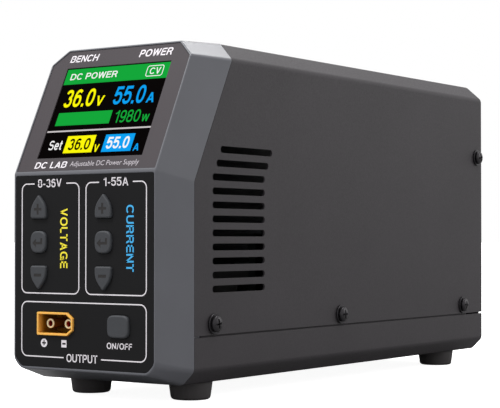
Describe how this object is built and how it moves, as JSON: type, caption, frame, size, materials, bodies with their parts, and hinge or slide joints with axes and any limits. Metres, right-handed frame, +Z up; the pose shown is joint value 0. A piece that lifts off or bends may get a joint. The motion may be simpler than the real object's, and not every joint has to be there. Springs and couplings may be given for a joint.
{
  "type": "bench power supply",
  "caption": "Tall narrow bench power supply: folded steel case, bezel with leaning display, keys, two-pole output socket, rear fan, mains inlet and rocker switch.",
  "frame": {"origin": "on the ground under the middle of the whole object's box", "axes": "+Z up, -Y out of the front face, +X to the right seen from the front"},
  "size_m": [0.1052, 0.319, 0.1685],
  "materials": {
    "painted_steel": "fine textured powder coat, dark grey",
    "bezel_plastic": "satin grey, lighter than the case",
    "panel_black": "matt black plate with printed lines",
    "fascia_grey": "matt warm grey plate",
    "screen_glass": "clear hard window over a black screen",
    "module_metal": "plated frame",
    "key_rubber": "soft grey keys",
    "board_green": "solder resist",
    "socket_amber": "translucent amber nylon",
    "contact_gold": "gold plated",
    "lead_positive": "red silicone insulation",
    "lead_negative": "black silicone insulation",
    "screw_steel": "zinc plated steel",
    "foot_rubber": "black moulded rubber",
    "fan_black": "glass filled plastic",
    "guard_chrome": "bright plated wire",
    "inlet_black": "moulded",
    "pin_brass": "nickel plated brass",
    "switch_black": "moulded",
    "rocker_black": "moulded",
    "aluminium": "extruded",
    "ferrite": "ferrite with tape",
    "copper_winding": "enamelled copper wire",
    "capacitor_sleeve": "aluminium can in a sleeve",
    "terminal_black": "moulded",
    "print_white": "printed ink",
    "print_yellow": "printed ink",
    "print_blue": "printed ink",
    "screen_light": "lit part of the screen"
  },
  "bodies": {
    "case": {"bottom_chassis": "painted_steel", "bulk_capacitor_1": "capacitor_sleeve", "bulk_capacitor_2": "capacitor_sleeve", "control_board": "board_green", "control_panel": "panel_black", "cover_screw_left_1": "screw_steel", "cover_screw_left_2": "screw_steel", "cover_screw_left_3": "screw_steel", "cover_screw_left_4": "screw_steel", "cover_screw_right_1": "screw_steel", "cover_screw_right_2": "screw_steel", "cover_screw_right_3": "screw_steel", "cover_screw_right_4": "screw_steel", "display_fascia": "fascia_grey", "display_lens": "screen_glass", "display_module": "module_metal", "earth_pin": "pin_brass", "fan_frame": "fan_black", "fan_guard": "guard_chrome", "fan_screw_1": "screw_steel", "fan_screw_2": "screw_steel", "fan_screw_3": "screw_steel", "fan_screw_4": "screw_steel", "foot_front_left": "foot_rubber", "foot_front_right": "foot_rubber", "foot_rear_left": "foot_rubber", "foot_rear_right": "foot_rubber", "foot_screw_front_left": "screw_steel", "foot_screw_front_right": "screw_steel", "foot_screw_rear_left": "screw_steel", "foot_screw_rear_right": "screw_steel", "front_bezel": "bezel_plastic", "live_pin": "pin_brass", "main_board": "board_green", "main_transformer": "ferrite", "mains_filter_choke": "ferrite", "mains_inlet": "inlet_black", "negative_contact": "contact_gold", "negative_lead": "lead_negative", "neutral_pin": "pin_brass", "output_choke": "copper_winding", "output_socket": "socket_amber", "output_terminal_block": "terminal_black", "pfc_choke": "copper_winding", "positive_contact": "contact_gold", "positive_lead": "lead_positive", "power_switch_body": "switch_black", "primary_heatsink": "aluminium", "rear_panel": "painted_steel", "secondary_heatsink": "aluminium", "top_cover": "painted_steel"},
    "voltage_up_key": {"voltage_up_key": "key_rubber"},
    "voltage_enter_key": {"voltage_enter_key": "key_rubber"},
    "voltage_down_key": {"voltage_down_key": "key_rubber"},
    "current_up_key": {"current_up_key": "key_rubber"},
    "current_enter_key": {"current_enter_key": "key_rubber"},
    "current_down_key": {"current_down_key": "key_rubber"},
    "output_key": {"output_key": "key_rubber"},
    "fan_rotor": {"fan_rotor": "fan_black"},
    "power_rocker": {"power_rocker": "rocker_black"}
  },
  "joints": [
    {"name": "voltage_up_press", "type": "slide", "parent": "case", "child": "voltage_up_key", "axis": [0, 1, 0], "range_m": [0, 0.0008], "stiffness_N_per_m": 1500},
    {"name": "voltage_enter_press", "type": "slide", "parent": "case", "child": "voltage_enter_key", "axis": [0, 1, 0], "range_m": [0, 0.0008], "stiffness_N_per_m": 1500},
    {"name": "voltage_down_press", "type": "slide", "parent": "case", "child": "voltage_down_key", "axis": [0, 1, 0], "range_m": [0, 0.0008], "stiffness_N_per_m": 1500},
    {"name": "current_up_press", "type": "slide", "parent": "case", "child": "current_up_key", "axis": [0, 1, 0], "range_m": [0, 0.0008], "stiffness_N_per_m": 1500},
    {"name": "current_enter_press", "type": "slide", "parent": "case", "child": "current_enter_key", "axis": [0, 1, 0], "range_m": [0, 0.0008], "stiffness_N_per_m": 1500},
    {"name": "current_down_press", "type": "slide", "parent": "case", "child": "current_down_key", "axis": [0, 1, 0], "range_m": [0, 0.0008], "stiffness_N_per_m": 1500},
    {"name": "output_press", "type": "slide", "parent": "case", "child": "output_key", "axis": [0, 1, 0], "range_m": [0, 0.0008], "stiffness_N_per_m": 1500},
    {"name": "fan_spin", "type": "hinge", "parent": "case", "child": "fan_rotor", "pos_m": [0, 0.1396, 0.113], "axis": [0, 1, 0], "continuous": true},
    {"name": "power_rock", "type": "hinge", "parent": "case", "child": "power_rocker", "pos_m": [0.024, 0.1548, 0.042], "axis": [1, 0, 0], "range_deg": [0, 20]}
  ]
}
